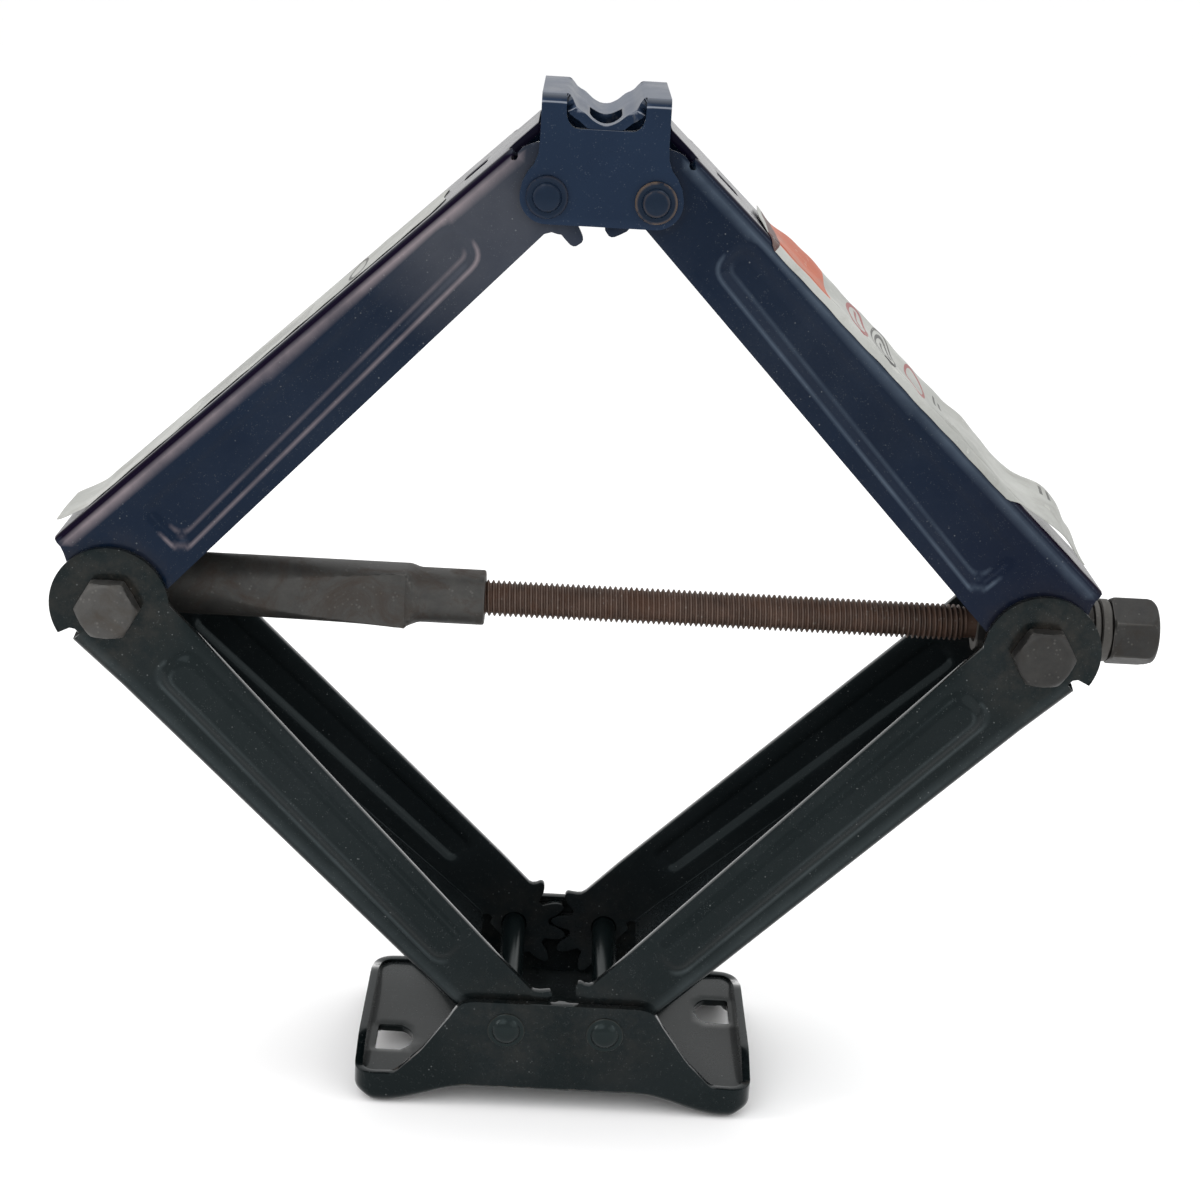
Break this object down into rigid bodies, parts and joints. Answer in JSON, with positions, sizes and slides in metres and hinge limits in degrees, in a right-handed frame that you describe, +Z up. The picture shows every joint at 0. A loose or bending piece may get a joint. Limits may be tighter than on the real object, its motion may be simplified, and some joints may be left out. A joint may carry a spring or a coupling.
{
  "type": "scissor jack",
  "caption": "Mechanical scissor jack with folded sheet arms, geared pivots, a screw with hexagon drive, a pressed base and a dished load head.",
  "frame": {"origin": "on the floor, at the centre of the footprint of the whole jack", "axes": "+X along the lead screw towards its hexagon drive, +Y towards the back, +Z up"},
  "size_m": [0.3583, 0.0898, 0.3328],
  "materials": {
    "upper_paint": "gloss dark navy enamel, dusty",
    "lower_paint": "satin black-green enamel, dusty and scratched",
    "grey_steel": "dull phosphated steel with light wear",
    "rusty_thread": "rolled thread, browned with rust and grease",
    "label_paper": "printed white vinyl, aged and curling"
  },
  "bodies": {
    "base": {"base_plate": "lower_paint", "base_pin_left": "lower_paint", "base_pin_right": "lower_paint"},
    "lower_left": {"lower_arm_left": "lower_paint"},
    "lower_right": {"lower_arm_right": "lower_paint"},
    "upper_left": {"upper_arm_left": "upper_paint", "label_left": "label_paper"},
    "upper_right": {"upper_arm_right": "upper_paint", "label_right": "label_paper"},
    "head": {"load_head": "upper_paint", "head_pin_left": "upper_paint", "head_pin_right": "upper_paint"},
    "left_trunnion": {"trunnion_nut": "grey_steel", "pivot_bolt_left_front": "grey_steel", "pivot_bolt_left_rear": "grey_steel"},
    "right_trunnion": {"trunnion_block": "grey_steel", "pivot_bolt_right_front": "grey_steel", "pivot_bolt_right_rear": "grey_steel", "thrust_bearing": "grey_steel"},
    "screw": {"lead_screw": "rusty_thread", "screw_collar": "grey_steel", "drive_washer": "grey_steel", "drive_hex": "grey_steel"}
  },
  "joints": [
    {"name": "base_left_pivot", "type": "hinge", "parent": "base", "child": "lower_left", "pos_m": [-0.02795, 0, 0.0296], "axis": [0, 1, 0], "range_deg": [-31.9, 20.1]},
    {"name": "base_right_pivot", "type": "hinge", "parent": "base", "child": "lower_right", "pos_m": [0.00475, 0, 0.0296], "axis": [0, 1, 0], "range_deg": [-20.2, 32]},
    {"name": "side_left_pivot", "type": "hinge", "parent": "lower_left", "child": "upper_left", "pos_m": [-0.16017, 0, 0.16604], "axis": [0, 1, 0], "range_deg": [-40.3, 63.9]},
    {"name": "side_right_pivot", "type": "hinge", "parent": "lower_right", "child": "upper_right", "pos_m": [0.13697, 0, 0.16604], "axis": [0, 1, 0], "range_deg": [-63.9, 40.3]},
    {"name": "head_left_pivot", "type": "hinge", "parent": "upper_left", "child": "head", "pos_m": [-0.02795, 0, 0.30249], "axis": [0, 1, 0], "range_deg": [-32, 20.2]},
    {"name": "nut_pivot", "type": "hinge", "parent": "lower_left", "child": "left_trunnion", "pos_m": [-0.16017, 0, 0.16604], "axis": [0, 1, 0], "range_deg": [-20.2, 32]},
    {"name": "block_pivot", "type": "hinge", "parent": "lower_right", "child": "right_trunnion", "pos_m": [0.13697, 0, 0.16604], "axis": [0, 1, 0], "range_deg": [-32, 20.2]},
    {"name": "screw_spin", "type": "hinge", "parent": "right_trunnion", "child": "screw", "pos_m": [0.13697, 0, 0.16604], "axis": [1, 0, 0], "continuous": true}
  ],
  "couplings": [
    {"joint": "base_right_pivot", "follows": "base_left_pivot", "ratio": -1},
    {"joint": "side_left_pivot", "follows": "base_left_pivot", "ratio": -2},
    {"joint": "side_right_pivot", "follows": "base_left_pivot", "ratio": 2},
    {"joint": "head_left_pivot", "follows": "base_left_pivot", "ratio": 1},
    {"joint": "nut_pivot", "follows": "base_left_pivot", "ratio": -1},
    {"joint": "block_pivot", "follows": "base_left_pivot", "ratio": 1}
  ]
}
